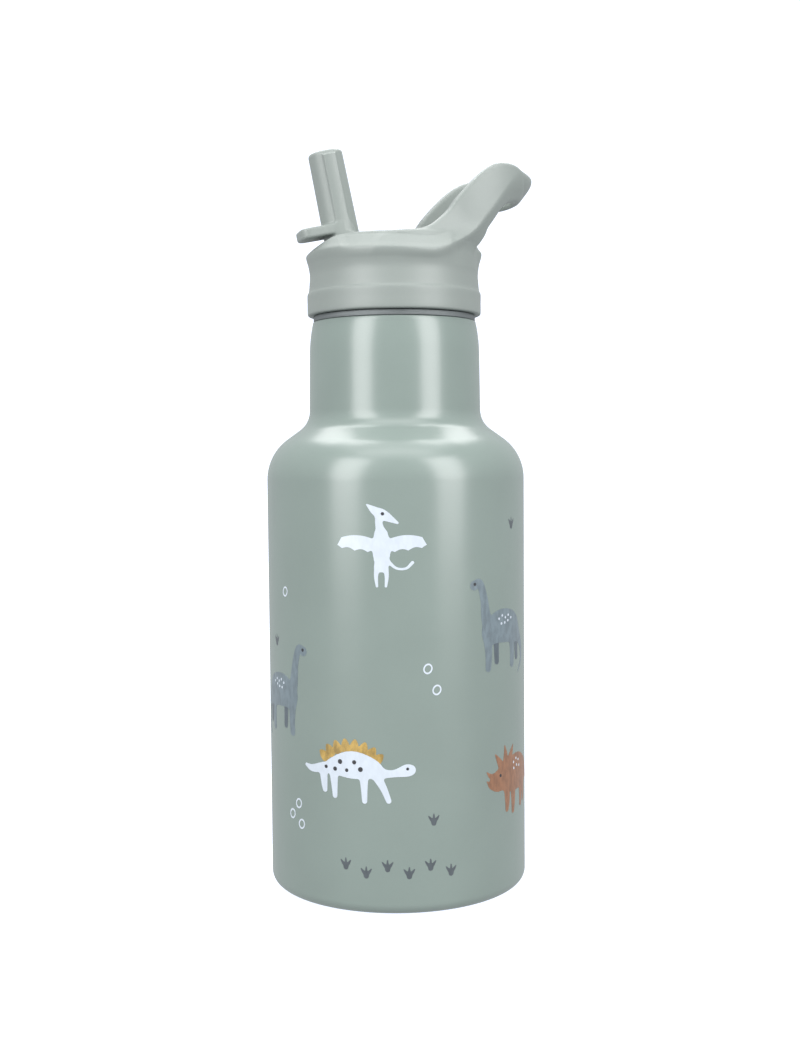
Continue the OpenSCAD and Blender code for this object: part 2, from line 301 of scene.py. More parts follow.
def dense(profile, gap):
    """The profile with its long spans cut so that no two points are further apart than gap."""
    out = [profile[0]]
    for (r0, z0), (r1, z1) in zip(profile, profile[1:]):
        n = max(1, math.ceil(math.hypot(r1 - r0, z1 - z0) / gap))
        out += [(r0 + (r1 - r0) * k / n, z0 + (z1 - z0) * k / n) for k in range(1, n + 1)]
    return out


def turned(profile, segments, push=None):
    """A profile of (radius, height) turned round Z, as points. push moves radii by angle and height."""
    ring = np.array(profile, float)
    turn = np.arange(segments) * 2 * math.pi / segments
    angle, radius = np.repeat(turn, len(ring)), np.tile(ring[:, 0], segments)
    height = np.tile(ring[:, 1], segments)
    if push is not None:
        radius = radius + push(angle, radius, height)
    return np.stack([radius * np.cos(angle), radius * np.sin(angle), height], 1)


def lathe(name, profile, segments, push=None, crease=None):
    """A closed ring turned round Z from a closed profile of (radius, height)."""
    n = len(profile)
    points = turned(profile, segments, push)
    i, j = np.meshgrid(np.arange(segments), np.arange(n), indexing="ij")
    k, m = (i + 1) % segments, (j + 1) % n
    faces = np.stack([i * n + j, k * n + j, k * n + m, i * n + m], -1).reshape(-1, 4)
    return make_object(name, points, faces, crease=crease)


# ---------------------------------------------------------------- materials
# range that most of a noise's values are in
NOISE_LOW, NOISE_HIGH = 0.3, 0.7


class Shader:
    """One procedural material: a Principled shader and the nodes that feed it."""

    def __init__(self, name, **sockets):
        self.material = bpy.data.materials.new(name)
        self.material.use_nodes = True
        self.tree = self.material.node_tree
        self.bsdf = self.tree.nodes["Principled BSDF"]
        self.place = self.add("ShaderNodeTexCoord").outputs["Object"]
        for socket, value in sockets.items():
            self.bsdf.inputs[socket.replace("_", " ")].default_value = value

    def add(self, kind, **settings):
        """A new node with its settings."""
        node = self.tree.nodes.new(kind)
        for key, value in settings.items():
            setattr(node, key, value)
        return node

    def link(self, out, into):
        self.tree.links.new(out, into)

    def stretched(self, x, y, z):
        """The object's coordinates times a factor along each axis."""
        node = self.add("ShaderNodeMapping")
        node.inputs["Scale"].default_value = (x, y, z)
        self.link(self.place, node.inputs["Vector"])
        return node.outputs["Vector"]

    def noise(self, size_mm, detail, place=None):
        """Noise from 0 to 1 whose grains are about size_mm across."""
        node = self.add("ShaderNodeTexNoise")
        node.inputs["Scale"].default_value = 1 / (size_mm * MM)
        node.inputs["Detail"].default_value = detail
        self.link(place or self.place, node.inputs["Vector"])
        return node.outputs["Fac"]

    def spread(self, value, low, high):
        """A noise mapped from its usual range to low...high."""
        node = self.add("ShaderNodeMapRange")
        self.link(value, node.inputs["Value"])
        ends = (("From Min", NOISE_LOW), ("From Max", NOISE_HIGH), ("To Min", low), ("To Max", high))
        for key, number in ends:
            node.inputs[key].default_value = number
        return node.outputs["Result"]

    def colours(self, value, *stops):
        """Colour by value, from (place, (r, g, b)) stops."""
        node = self.add("ShaderNodeValToRGB")
        ramp = node.color_ramp
        while len(ramp.elements) < len(stops):
            ramp.elements.new(0.5)
        for element, (place, rgb) in zip(ramp.elements, stops):
            element.position = place
            element.color = (*rgb, 1)
        self.link(value, node.inputs["Fac"])
        return node.outputs["Color"]

    def mottled(self, value, rgb, share, low=0.35, high=0.65):
        """Two colours, a little darker and a little lighter than rgb, by the value."""
        dark, light = (tuple(c * (1 + change) for c in rgb) for change in (-share, share))
        return self.colours(value, (low, dark), (high, light))

    def tint(self, colour, value, share):
        """The colour, darkened or lightened by share where the value is away from its middle."""
        node = self.add("ShaderNodeMix", data_type="RGBA", blend_type="MULTIPLY")
        node.inputs["Factor"].default_value = 1
        self.link(colour, node.inputs["A"])
        grey = self.colours(value, (NOISE_LOW, (1 - share,) * 3), (NOISE_HIGH, (1 + share,) * 3))
        self.link(grey, node.inputs["B"])
        return node.outputs["Result"]

    def bump(self, value, depth_mm, after=None):
        """Relief of depth_mm from the value, on top of an earlier relief."""
        node = self.add("ShaderNodeBump")
        node.inputs["Strength"].default_value = 1
        node.inputs["Distance"].default_value = depth_mm * MM
        self.link(value, node.inputs["Height"])
        if after is not None:
            self.link(after, node.inputs["Normal"])
        return node.outputs["Normal"]

    def wire(self, colour, rough=None, normal=None):
        """The material, with what is given linked to its shader."""
        for out, socket in ((colour, "Base Color"), (rough, "Roughness"), (normal, "Normal")):
            if out is not None:
                self.link(out, self.bsdf.inputs[socket])
        return self.material


PAINT = (0.219, 0.272, 0.246)
LID_COLOUR = (0.250, 0.282, 0.262)


def powder_coat():
    s = Shader("powder_coat", Specular_IOR_Level=0.5, IOR=1.74)
    colour = s.mottled(s.noise(18, 3), PAINT, 0.02)
    colour = s.tint(colour, s.noise(0.25, 1), 0.012)
    # all below 0.27: Cycles' denoiser treats rougher surfaces differently, which would show as flakes
    rough = s.spread(s.noise(0.8, 2), 0.240, 0.268)
    normal = s.bump(s.noise(1.3, 1), 0.0022)
    return s.wire(colour, rough, s.bump(s.noise(0.22, 1), 0.0005, normal))


def satin_plastic(name, rgb):
    s = Shader(name, Specular_IOR_Level=0.5, IOR=1.72)
    colour = s.mottled(s.noise(9, 3), rgb, 0.015)
    colour = s.tint(colour, s.noise(0.2, 1), 0.015)
    rough = s.spread(s.noise(0.5, 2), 0.44, 0.50)
    normal = s.bump(s.noise(6, 2), 0.012)
    return s.wire(colour, rough, s.bump(s.noise(0.16, 2), 0.0018, normal))


def turned_steel(name, rgb, rough_from, rough_to):
    s = Shader(name, Metallic=1, Anisotropic=0.4)
    streak = s.noise(0.25, 3, s.stretched(0.03, 0.03, 1))
    colour = s.mottled(streak, rgb, 0.10)
    rough = s.spread(s.noise(3, 3), rough_from, rough_to)
    return s.wire(colour, rough, s.bump(streak, 0.002))


def soft_metal(name, rgb, grain, rough_from, rough_to, depth):
    s = Shader(name, Metallic=1)
    grains = s.noise(grain, 4)
    colour = s.mottled(grains, rgb, 0.12)
    return s.wire(colour, s.spread(s.noise(grain * 2, 2), rough_from, rough_to), s.bump(grains, depth))


def silicone(name, rgb):
    s = Shader(name, IOR=1.41, Sheen_Weight=0.15, Sheen_Roughness=0.4)
    colour = s.mottled(s.noise(4, 3), rgb, 0.03)
    return s.wire(colour, s.spread(s.noise(0.4, 2), 0.55, 0.68), s.bump(s.noise(0.2, 2), 0.003))


def clear_plastic():
    s = Shader("straw_plastic", IOR=1.49, Transmission_Weight=0.45)
    colour = s.colours(s.noise(6, 2), (0.35, (0.80, 0.84, 0.84)), (0.65, (0.88, 0.91, 0.91)))
    return s.wire(colour, s.spread(s.noise(0.6, 2), 0.28, 0.36), s.bump(s.noise(0.4, 2), 0.003))


def ink(name, rgb, share, patch=1.2):
    """Printed ink with the uneven cover of a brush."""
    s = Shader(name, IOR=1.74)
    colour = s.mottled(s.noise(patch, 4, s.stretched(1, 1, 0.45)), rgb, share, 0.38, 0.62)
    colour = s.tint(colour, s.noise(0.25, 2), share * 0.4)
    return s.wire(colour, s.spread(s.noise(0.5, 2), 0.30, 0.38), s.bump(s.noise(0.5, 3), 0.006))


def stage_white():
    """Floor and sweep: white, and light enough by itself that it never goes grey."""
    s = Shader("stage_white", Roughness=0.9, Specular_IOR_Level=0.1, Emission_Strength=0.98)
    s.bsdf.inputs["Emission Color"].default_value = (0.88, 0.94, 1.10, 1)
    return s.wire(s.colours(s.noise(40, 2), (NOISE_LOW, (0.36,) * 3), (NOISE_HIGH, (0.38,) * 3)))


# ---------------------------------------------------------------- flask
def shell_curve(inward):
    """The outer wall's surface from the foot to the neck's top, moved into the wall."""
    turn = math.radians(SHOULDER_TURN)
    cos_turn, sin_turn = math.cos(turn), math.sin(turn)
    # a short straight slope lies between the shoulder's round and the neck's fillet
    slope_w = BODY_R - NECK_R - (SHOULDER_R + FILLET_R) * (1 - cos_turn)
    fillet_z = SHOULDER_Z + (SHOULDER_R + FILLET_R) * sin_turn + slope_w * cos_turn / sin_turn
    top = math.degrees(math.asin((PAINT_TOP - NECK_TAPER_Z) / NECK_TAPER_R))
    return (
        [(FOOT_R + inward, FOOT_INSIDE_Z)]
        + arc(FOOT_R + FOOT_EDGE_R, FOOT_EDGE_R, FOOT_EDGE_R - inward, 180, 270, 8)
        + arc(BODY_R - BASE_EDGE_R, BASE_EDGE_R, BASE_EDGE_R - inward, 270, 360, 14)
        + arc(BODY_R - SHOULDER_R, SHOULDER_Z, SHOULDER_R - inward, 0, SHOULDER_TURN, 28)
        + arc(NECK_R + FILLET_R, fillet_z, FILLET_R + inward, 180 + SHOULDER_TURN, 180, 18)
        + arc(NECK_WAIST_R - NECK_TAPER_R, NECK_TAPER_Z, NECK_TAPER_R - inward, 0, top, 8)
    )


def flask_wall():
    """The painted wall, with a small round on its top edge and a finer net than that of the CAD solid."""
    lip, gap = 0.15, 4
    outside = dense(shell_curve(0), gap)
    end_r, end_z = outside[-1]
    outside[-1] = (end_r + 0.02, end_z - lip)
    rim = arc(end_r - lip, end_z - lip, lip, 15, 90, 4)
    inside = dense(shell_curve(WALL), gap)[::-1]
    inside[0] = (inside[0][0], end_z - 0.05)
    return lathe("flask_wall", outside + rim + inside, segments=288, crease=50)


def ridge_height(angle, height, z0):
    """How high the screw ridge stands, from 0 to 1, at an angle in radians and a height."""
    along = (np.degrees(angle) - THREAD_START) % 360
    best = np.zeros(np.shape(angle))
    for turn in (0, 360):
        gone = along + turn
        fade = np.clip(np.minimum(gone, THREAD_SWEEP - gone) / THREAD_FADE, 0, 1)
        off = np.abs(height - z0 - THREAD_LEAD * gone / 360)
        rise = np.clip((THREAD_HALF_W - off) / (THREAD_HALF_W - THREAD_TIP_HALF_W), 0, 1)
        best = np.maximum(best, smooth_step(rise) * smooth_step(fade))
    return best


def mouth_band():
    """Bare steel mouth: the band under the lid, the neck with its screw ridge, and the bore."""
    band_r, tuck_r, bore_r = 21.3, 20.9, 19.05
    inner_r = tuck_r - 0.55
    low_round, top_round = 0.25, 0.3
    z, low_z = NECK_TOP, NECK_TOP - 2.4
    thread = dense([(MALE_ROOT_R, z + 2.7), (MALE_ROOT_R, RING_TOP)], 0.16)
    profile = (
        [(tuck_r, low_z), (tuck_r, z + 0.05), (band_r - top_round, z + 0.12)]
        + arc(band_r - low_round, z + 0.55, low_round, 270, 360, 5)
        + arc(band_r - top_round, z + 1.6, top_round, 0, 80, 5)
        + [(band_r - 2 * top_round, z + 1.95)]
        + thread
        + [(bore_r, RING_TOP), (bore_r, z + 2.2), (inner_r, z + 1.4), (inner_r, low_z)]
    )

    def push(angle, radius, height):
        wall = np.abs(radius - MALE_ROOT_R) < 0.01
        return wall * ridge_height(angle, height, MALE_Z) * (MALE_CREST_R - MALE_ROOT_R)

    return lathe("mouth_band", profile, segments=256, push=push, crease=40)


def base_plate():
    """Thin disc under the flask, with a rolled edge and two pressed rings."""
    r, top = FOOT_R - 0.6, BASE_RECESS
    edge, centre_r = 0.25, 0.02
    face_z, groove_z = top - 0.5, top - 0.3
    face = [(r, top)] + arc(r - edge, top - edge, edge, 0, -90, 5)
    for ring_r in (19, 17.6):
        for away, z in ((0.6, face_z), (0.3, groove_z), (-0.3, groove_z), (-0.6, face_z)):
            face.append((ring_r + away, z))
    return lathe("base_plate", face + [(centre_r, face_z), (centre_r, top)], segments=160, crease=30)


# ---------------------------------------------------------------- lid
# outside of the lid, from the bottom edge to the deck: height, radius
COLLAR = curve_through([
    (149.8, 22.6), (150.4, 22.83), (153, 22.85), (155.2, 22.85), (156.1, 22.48), (158.3, 22.25),
    (160.5, 22.15), (163, 22.5), (164.6, 22.95), (165.5, 23.12), (166.1, 23.02), (167.3, 22.1),
    (169.6, 20.4),
])
COLLAR = COLLAR[np.argsort(COLLAR[:, 0])]
COLLAR_WAIST_R = 22.2
COLLAR_WAIST_Z = 160
# planes that slope the deck down in front of the spout: degrees, x and z of a point, round
DECK_SLOPES = ((40, -22.6, 165.9, 0.8), (24, -19.3, 168.7, 1.0))

# side view of the carry loop: x, z and half height of the arm, from the collar to past the end bar
LOOP = curve_through([
    (-6, 163.9, 4.6), (-1.3, 164.4, 5.0), (3.7, 165.0, 5.4), (9.6, 166.6, 6.4), (14.6, 171.1, 6.2),
    (16.5, 174.3, 5.8), (19.0, 177.4, 5.6), (21.6, 180.4, 5.3), (24.6, 182.7, 5.2),
    (27.6, 183.4, 4.7), (30.8, 183.2, 4.0), (34.6, 183.0, 3.9), (44, 182.6, 3.9),
], 3)
# side view of the edge that runs round the collar as its ridge and on up the arms: x, z, no width
CREASE = curve_through([
    (-60, 165.3, 0), (-22, 165.2, 0), (-16, 164.7, 0), (-8, 164.4, 0), (-2, 164.2, 0), (3, 164.1, 0),
    (6, 164.4, 0), (8.8, 165.3, 0), (11.9, 166.8, 0), (15.1, 168.6, 0), (17.8, 170.8, 0),
    (20.5, 174, 0), (23.3, 177.2, 0), (26.4, 181.1, 0), (28.8, 183.2, 0), (31.5, 184.4, 0),
    (35, 185.2, 0), (60, 186, 0),
], 3)
# the ridge's height in COLLAR, which is moved to where CREASE puts it
RIDGE_Z = 165.5
# the slope above the ridge, carried on up where an arm stands on it: height over the ridge, radius
FLARE = np.array([(-1, 23.12), (0.6, 22.95), (1.8, 21.95), (4.1, 20.3), (7, 19.2), (12, 17.6), (30, 13)])
LOOP_HALF_W = 17.3
LOOP_INNER_HALF_W = 13.2
LOOP_STRAIGHT_X = 14
LOOP_BAR = 6.0
LOOP_END_X = LOOP_REACH - 0.2
# the arms' feet stand on the collar between the first two x, and the ridge fades over the third
ARM_FOOT_X, ARM_FOOT_END_X, ARM_FOOT_FADE = 9, 19, 3


def ridge_z(x):
    """Height of the ridge, which dips at the sides before it runs up the arms."""
    return np.interp(x, CREASE[:, 0], CREASE[:, 1])


def collar_field(x, y, z):
    """Outside of the lid without its loop: skirt, waist, ridge and deck."""
    r = np.hypot(x, y)
    follow = smooth_step((z - COLLAR_WAIST_Z) / 3.5)
    dip = RIDGE_Z - ridge_z(x)
    behind = smooth_step((x - ARM_FOOT_X) / ARM_FOOT_FADE)
    wall = np.interp(z + dip * follow * (1 - behind), COLLAR[:, 0], COLLAR[:, 1])
    # no ridge under the arms
    past = smooth_step((x - ARM_FOOT_END_X) / ARM_FOOT_FADE)
    flush = behind * (1 - past) * (z > COLLAR_WAIST_Z)
    wall = wall - flush * np.maximum(wall - COLLAR_WAIST_R, 0)
    d = (r - wall) * 0.92
    d = blend_max(d, z - DECK_Z, 1.2)
    d = blend_max(d, SKIRT_Z - z, 0.35)
    for degrees, at_x, at_z, k in DECK_SLOPES:
        a = math.radians(degrees)
        d = blend_max(d, (z - at_z) * math.cos(a) - (x - at_x) * math.sin(a), k)
    return d


def plan_oval(x, y, half, end_x, power):
    """Straight sides that close in half an oval at end_x: a field in plan."""
    a = end_x - LOOP_STRAIGHT_X
    over = np.maximum(x - LOOP_STRAIGHT_X, 0) / a
    round_end = ((over**power + (y / half)**power)**(1 / power) - 1) * min(a, half)
    return np.where(x > LOOP_STRAIGHT_X, round_end, y - half)


def loop_field(x, y, z):
    """The carry loop. Its outer face runs down into the slope over the ridge, and ends in the crease."""
    band = nearest_on(x, z, LOOP)[0]
    flare = (np.hypot(x, y) - np.interp(z - ridge_z(x), FLARE[:, 0], FLARE[:, 1])) * 0.9
    y = np.abs(y)
    outer = blend_min(plan_oval(x, y, LOOP_HALF_W, LOOP_END_X, 2.2), flare, 3)
    inner = plan_oval(x, y, LOOP_INNER_HALF_W, LOOP_END_X - LOOP_BAR, 2.0)
    # rounder towards the end bar
    edge = 1.0 + 1.6 * smooth_step((x - 29) / 6)
    d = blend_max(blend_max(band, outer, edge), -inner, 1.2)
    # the underside slopes in from the crease
    end = smooth_step((x - 25) / 8)
    steep = 1.05 + 0.7 * end
    under = (steep * outer - nearest_on(x, z, CREASE)[1]) / np.hypot(1, steep)
    return blend_max(d, under, 0.6 + 0.9 * end)


def spout_room_field(x, y, z):
    """Space that the spout turns and lies in."""
    u, w, y = x - HINGE_X, z - HINGE_Z, np.abs(y)
    half, reach = HUB_HALF_W + ROOM_GAP, SPOUT_LEN + ROOM_END_GAP
    hub = np.maximum(np.hypot(u, w) - HUB_R - ROOM_GAP, y - half)
    over = np.maximum(np.maximum(np.abs(u) - HUB_R - ROOM_GAP, y - half), -w)
    trough = np.where(w > 0, y, np.hypot(y, w)) - half
    trough = blend_max(np.maximum(trough, -u), u - reach, 0.8)
    return np.minimum(np.minimum(hub, over), trough)


def lid_field(x, y, z):
    """The whole lid moulding."""
    r = np.hypot(x, y)
    d = collar_field(x, y, z)
    d = blend_min(d, loop_field(x, y, z), 1.0)
    # hollow of the skirt and of the plug
    hollow = np.maximum(r - FEMALE_ROOT_R, z - CEILING_Z)
    tube = np.maximum(np.abs(r - PLUG_R + PLUG_WALL / 2) - PLUG_WALL / 2, PLUG_Z - z)
    plug_room = np.maximum(r - PLUG_R + PLUG_WALL, z - DECK_UNDER_Z)
    hollow = np.minimum(np.maximum(hollow, -tube), plug_room)
    d = blend_max(d, -hollow, 0.25)
    # walls of the spout's housing, inside the plug
    y_abs = np.abs(y)
    cheeks = np.maximum(np.maximum(np.abs(x - CHEEK_X) - CHEEK_HALF_LEN, y_abs - CHEEK_HALF_W), CHEEK_Z - z)
    trough = np.maximum(np.maximum(x - TROUGH_TO_X, TROUGH_FROM_X - x),
                        np.maximum(y_abs - TROUGH_HALF_W, TROUGH_Z - z))
    housing = np.maximum(np.minimum(cheeks, trough), np.maximum(r - PLUG_R + 0.5, z - DECK_UNDER_Z - 0.8))
    d = blend_min(d, housing, 0.4)
    # screw ridge
    ridge = ridge_height(np.arctan2(y, x), z, FEMALE_Z) * (FEMALE_ROOT_R - FEMALE_CREST_R)
    wall = np.maximum(r - FEMALE_ROOT_R - 0.5, np.maximum(SKIRT_Z - z, z - CEILING_Z))
    d = np.minimum(d, np.maximum(FEMALE_ROOT_R - ridge - r, wall))
    d = blend_max(d, -spout_room_field(x, y, z), 0.7)
    sockets = np.maximum(np.hypot(x - HINGE_X, z - HINGE_Z) - TRUNNION_R - TRUNNION_GAP,
                         y_abs - HUB_HALF_W - TRUNNION_LEN - 2 * TRUNNION_GAP)
    return np.maximum(d, -sockets)


def lid():
    low, high = (-24, -24, 149.6), (LOOP_REACH + 1, 24, 190)
    points, quads, normals = surface_net(lid_field, low, high, LID_CELL)
    return make_object("lid_moulding", points, quads, normals)


# ---------------------------------------------------------------- spout
def spout_field(x, y, z):
    """The open spout: s runs up its tube from the hinge, and q across it towards the back."""
    u, w, y = x - HINGE_X, z - HINGE_Z, np.abs(y)
    lean = math.radians(SPOUT_LEAN)
    s = w * math.cos(lean) - u * math.sin(lean)
    q = u * math.cos(lean) + w * math.sin(lean)
    r = SPOUT_R_FOOT + (SPOUT_R_TIP - SPOUT_R_FOOT) * np.clip(s / SPOUT_LEN, 0, 1)
    tube = blend_max(np.hypot(q, y) - r, s - SPOUT_LEN, 1.1)
    tube = np.maximum(tube, -s)
    half_t = RIB_HALF_T + RIB_FOOT_EXTRA * smooth_step((9.5 - s) / 6)
    rib = np.maximum(np.maximum(np.abs(q) - half_t, y - HUB_HALF_W), np.maximum(s - RIB_END, -s))
    # the folded spout lies in a round trough, so the ribs stay inside its radius
    rib = np.maximum(rib, np.hypot(q, y) - HUB_R + 0.2)
    d = blend_min(tube, rib, 0.7)
    hub = blend_max(np.hypot(u, w) - HUB_R, y - HUB_HALF_W, 0.5)
    d = blend_min(d, hub, 0.9)
    # thumb tab: its corners are rounded in plan
    plan = np.hypot(np.maximum(-q - TAB_LEN + TAB_CORNER_R, 0),
                    np.maximum(y - HUB_HALF_W + TAB_CORNER_R, 0)) - TAB_CORNER_R
    tab = blend_max(np.maximum(plan, q), np.abs(s - TAB_S) - TAB_HALF_T, 0.8)
    d = blend_min(d, tab, 0.8)
    # the blends don't make it wider than its room
    d = blend_max(d, y - HUB_HALF_W - 0.12, 0.2)
    pin = blend_max(np.hypot(u, w) - TRUNNION_R, y - HUB_HALF_W - TRUNNION_LEN, 0.4)
    d = np.minimum(d, pin)
    return blend_max(d, CHANNEL_R - np.hypot(q, y), 0.6)


def spout():
    points, quads, normals = surface_net(spout_field, SPOUT_LOW - 1, SPOUT_HIGH + 1, SPOUT_CELL)
    return make_object("spout_moulding", points, quads, normals)


# ---------------------------------------------------------------- prints on the flask
INK_LIFT = 0.035
SPOT_LIFT = 0.055
INK_SINK = 0.02
DOT_BLEND = 0.05
EYE_R = 0.42
DOT_R = 0.33
# how far a figure that lies behind another one runs in under its edge
APART = 0.02


def stroke(u, v, points):
    """A brush stroke through (across, up, radius) points."""
    return nearest_on(u, v, curve_through(points, 5))[0]


def disc(u, v, at_u, at_v, r):
    """A round dot."""
    return np.hypot(u - at_u, v - at_v) - r


def dots(u, v, places, r):
    """Dots of one size."""
    return joined([disc(u, v, a, b, r) for a, b in places], DOT_BLEND)


def joined(parts, k):
    """Union of the fields, with a round of about k where they meet."""
    d = parts[0]
    for part in parts[1:]:
        d = blend_min(d, part, k)
    return d


def film(name, field, size, at_degrees, at_z, material, lift=INK_LIFT, cell=0.16, flip=False):
    """A film of ink on the wall where field(across, up) is negative. size is half the width and height."""
    def value(across, up):
        return field(-across if flip else across, up)

    half_u, half_v = size
    u, v = np.meshgrid(np.arange(-half_u, half_u, cell), np.arange(-half_v, half_v, cell), indexing="ij")
    inside = value(u, v) < 0
    some = inside[:-1, :-1] | inside[1:, :-1] | inside[1:, 1:] | inside[:-1, 1:]
    i, j = np.nonzero(some)
    index = np.arange(u.size).reshape(u.shape)
    quads = np.stack([index[i, j], index[i + 1, j], index[i + 1, j + 1], index[i, j + 1]], 1)
    used, quads = np.unique(quads, return_inverse=True)
    quads = quads.reshape(-1, 4)
    pu, pv = u.ravel()[used], v.ravel()[used]
    # points outside the outline move in to it
    step = 0.05
    for _ in range(3):
        gu = (value(pu + step, pv) - value(pu - step, pv)) / (2 * step)
        gv = (value(pu, pv + step) - value(pu, pv - step)) / (2 * step)
        out = np.clip(value(pu, pv), 0, cell) / np.maximum(gu**2 + gv**2, 0.2)
        pu, pv = pu - out * gu, pv - out * gv
    angle = math.radians(at_degrees + VIEW_TURN) + pu / BODY_R
    count = len(pu)
    points = [np.stack([r * np.sin(angle), -r * np.cos(angle), at_z + pv], 1)
              for r in (BODY_R + lift, BODY_R - INK_SINK)]
    edges = np.vstack([quads[:, [k, (k + 1) % 4]] for k in range(4)])
    key, times = np.unique(np.sort(edges, 1), axis=0, return_counts=True)
    rim = {tuple(e) for e in key[times == 1]}
    walls = [(a, a + count, b + count, b) for a, b in edges.tolist() if tuple(sorted((a, b))) in rim]
    faces = quads.tolist() + (quads[:, ::-1] + count).tolist() + walls
    piece = make_object(name, np.vstack(points), faces, crease=40)
    piece.data.materials.append(material)
    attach(piece, "bottle")


def flyer(u, v):
    """Flying reptile seen from the front, wings spread."""
    body = stroke(u, v, [(0, 3, 1.7), (0.1, 0, 2.3), (0, -4.5, 1.5)])
    neck = stroke(u, v, [(0, 3.5, 1.2), (-0.5, 6, 0.9), (-0.2, 8, 1.2)])
    head = stroke(u, v, [(-3.4, 10.4, 0.2), (-1.4, 8.9, 1.0), (0.8, 7.8, 1.2), (4, 6, 0.3)])
    legs = [stroke(u, v, [(side, -4.6, 0.7), (1.3 * side, -7, 0.5), (1.1 * side, -9.4, 0.3)])
            for side in (-1, 1)]
    tail = stroke(u, v, [(1.5, -3.2, 0.5), (3.6, -5, 0.3), (6, -5.1, 0.3), (7.6, -3.7, 0.4)])
    across = np.abs(u)
    arm = 3.0 - 0.045 * (across - 6.5)**2
    hem = -1.2 + 0.55 * np.abs(np.sin(across * 0.95)) + 0.01 * across**2
    wing = np.maximum(np.maximum(v - arm, hem - v) * 0.9, across - 11.5 + 0.6 * np.abs(v))
    return joined([body, neck, head, *legs, tail, wing], 0.6)


def flyer_eye(u, v):
    return disc(u, v, 0.4, 8.2, EYE_R)


def plated(u, v):
    """Plated reptile walking to the right."""
    body = stroke(u, v, [(-9, 0.1, 0.8), (-5.5, 1.1, 2.2), (-1, 1.6, 3.4), (3.5, 1.0, 2.6),
                         (6.5, -0.2, 1.2)])
    tail = stroke(u, v, [(-14.6, 0.3, 0.4), (-12.6, -0.3, 0.9), (-9, 0.3, 1.3)])
    neck = stroke(u, v, [(6, -0.3, 1.2), (9.5, -0.2, 0.9), (12.6, 0.5, 1.5), (13.6, 0.6, 1.3)])
    legs = [stroke(u, v, [(at, -0.8, 1.2), (at + 0.6 * lean, -4, 0.85), (at + lean, foot, 0.65)])
            for at, lean, foot in ((-9, 0.4, -5.2), (-6, 0.3, -6.4), (2, 0.2, -7.2), (5.2, 3.0, -7.0))]
    return joined([body, tail, neck, *legs], 0.7)


def plated_back(u, v):
    """Row of leaf-shaped plates along the back."""
    plates = []
    for place in range(8):
        a = math.radians(142 - 15 * place)
        at_u, at_v = -1.6 + 8.6 * math.cos(a), -1.2 + 6.9 * math.sin(a)
        tip_u, tip_v = at_u + 1.6 * math.cos(a), at_v + 1.9 * math.sin(a)
        plates.append(stroke(u, v, [(at_u, at_v, 1.25), ((at_u + tip_u) / 2, (at_v + tip_v) / 2, 1.0),
                                    (tip_u, tip_v, 0.5)]))
    return np.maximum(joined(plates, 0.25), -(plated(u, v) - APART))


def plated_spots(u, v):
    spots = ((-8.2, 0.6), (-5.6, 0.3), (-4.2, 2.2), (-2.4, 0.2), (-0.4, 2.3), (1.2, 0.6))
    discs = [disc(u, v, a, b, 0.45 + 0.08 * (k % 3)) for k, (a, b) in enumerate(spots)]
    eye = disc(u, v, 12.9, 0.9, 0.36)
    return joined(discs + [eye], DOT_BLEND)


def long_neck(u, v):
    """Long-necked reptile looking to the left."""
    neck = stroke(u, v, [(-10.4, 10.0, 1.2), (-8.6, 10.3, 1.1), (-7.2, 6.5, 1.2), (-6.4, 1.5, 1.7),
                         (-4.4, -2.4, 2.6)])
    body = stroke(u, v, [(-5, -2, 3.0), (-1, -0.9, 4.2), (4, -1.4, 4.0), (7, -3.2, 2.4)])
    tail = stroke(u, v, [(7, -3.2, 2.0), (10.5, -6.5, 1.0), (11.2, -10.5, 0.5), (8.8, -13.6, 0.25)])
    legs = [stroke(u, v, [(at, -4, 1.5), (at + 0.2, -8, 1.15), (at, -11, 1.0)]) for at in (-5.8, 4.6)]
    return joined([neck, body, tail, *legs], 0.8)


def long_neck_legs(u, v):
    """The two legs on the far side."""
    legs = joined([stroke(u, v, [(at, -5, 1.0), (at + 0.2, -9.6, 0.85)]) for at in (-2.8, 7.2)], 0.1)
    return np.maximum(legs, -(long_neck(u, v) - APART))


def long_neck_dots(u, v):
    places = ((-1.6, 1.0), (-0.2, 1.7), (1.2, 1.1), (2.6, 1.6), (4.0, 0.8), (-0.6, -0.3), (0.9, -0.2),
              (2.4, 0.2))
    return dots(u, v, places, DOT_R)


def long_neck_eye(u, v):
    return disc(u, v, -10.2, 10.3, EYE_R)


def horned(u, v):
    """Horned reptile with a frill, looking to the left."""
    body = stroke(u, v, [(-2, 0, 3.8), (3, 0.6, 4.8), (8, -0.2, 3.6), (11.5, -1.5, 1.4), (14, -3, 0.4)])
    head = stroke(u, v, [(-8.6, -0.6, 1.4), (-6, -0.2, 2.8), (-3, 0.8, 3.2)])
    horns = [stroke(u, v, [(-7.6, b, 1.0), (-9.4, b + 0.6, 0.6), (-10.6, b + 1.7, 0.15)])
             for b in (-1.4, 0.9)]
    frill = [stroke(u, v, [(-3.4, 1, 1.6), (a, b, 1.0), (c, d, 0.2)])
             for a, b, c, d in ((-5.6, 4.2, -7.4, 6.6), (-3.0, 5.2, -3.4, 8.2), (-0.6, 5.2, 0.8, 7.8))]
    legs = [stroke(u, v, [(at, -2, 1.5), (at + 0.2, -6, 1.1), (at, foot, 0.75)])
            for at, foot in ((-2.4, -8.2), (0.8, -9.2), (6.2, -8.6), (8.8, -7.8))]
    return joined([body, head, *horns, *frill, *legs], 0.5)


def horned_dots(u, v):
    places = ((1.2, 3.2), (2.8, 3.9), (4.4, 3.3), (1.4, 1.6), (3.2, 2.1), (5.0, 1.7))
    return dots(u, v, places, DOT_R)


def horned_eye(u, v):
    return disc(u, v, -5.4, 1.0, EYE_R)


